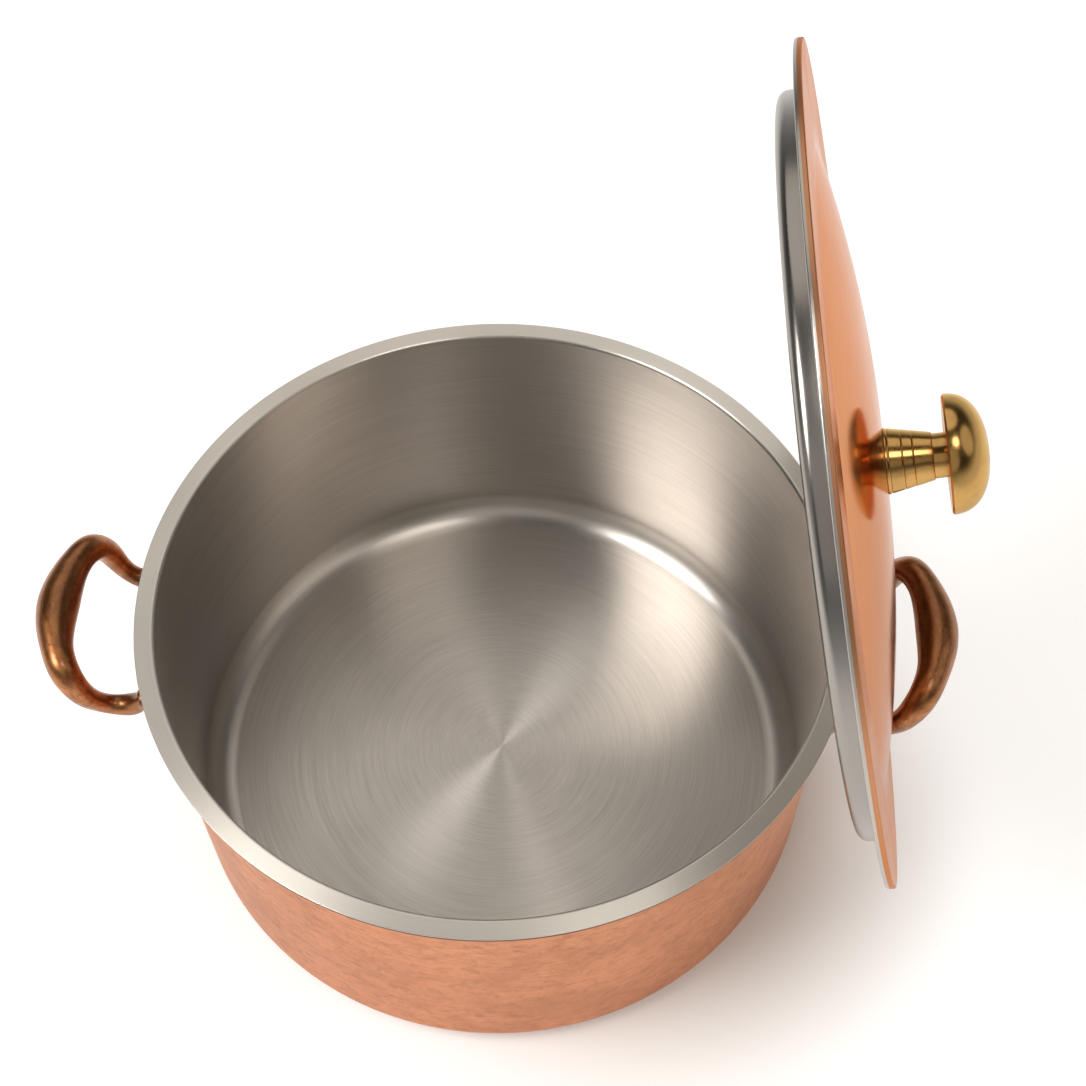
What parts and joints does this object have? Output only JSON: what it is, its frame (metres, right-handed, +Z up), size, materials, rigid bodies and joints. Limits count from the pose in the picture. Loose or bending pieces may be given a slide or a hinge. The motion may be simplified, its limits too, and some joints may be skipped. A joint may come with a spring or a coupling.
{
  "type": "casserole pot",
  "caption": "Round straight-sided copper pot lined with steel, two cast loop handles, and a domed copper lid with a turned brass knob that stands in one handle.",
  "frame": {"origin": "centre of the pot's flat base, on the surface it stands on", "axes": "+Z up along the pot's axis, +X from the pot's centre to the handle that holds the lid"},
  "size_m": [0.3342, 0.2605, 0.3359],
  "materials": {
    "copper": "satin copper with fine scratches and smudges",
    "lid_copper": "polished copper",
    "lining": "stainless steel brushed in rings",
    "bronze": "cast bronze with brown patina",
    "knob_brass": "turned and polished brass",
    "fastener_steel": "plain stainless steel"
  },
  "bodies": {
    "pot": {"copper_shell": "copper", "steel_lining": "lining", "left_handle": "bronze", "right_handle": "bronze"},
    "lid": {"lid_cover": "lid_copper", "lid_lining": "lining", "plug_ring": "lining", "knob_stem": "knob_brass", "knob_cap": "knob_brass", "knob_washer": "fastener_steel", "knob_screw": "fastener_steel"}
  },
  "joints": [
    {"name": "lid_lift", "type": "slide", "parent": "pot", "child": "lid", "axis": [0.1961, 0, 0.9806], "range_m": [0, 0.2]}
  ]
}
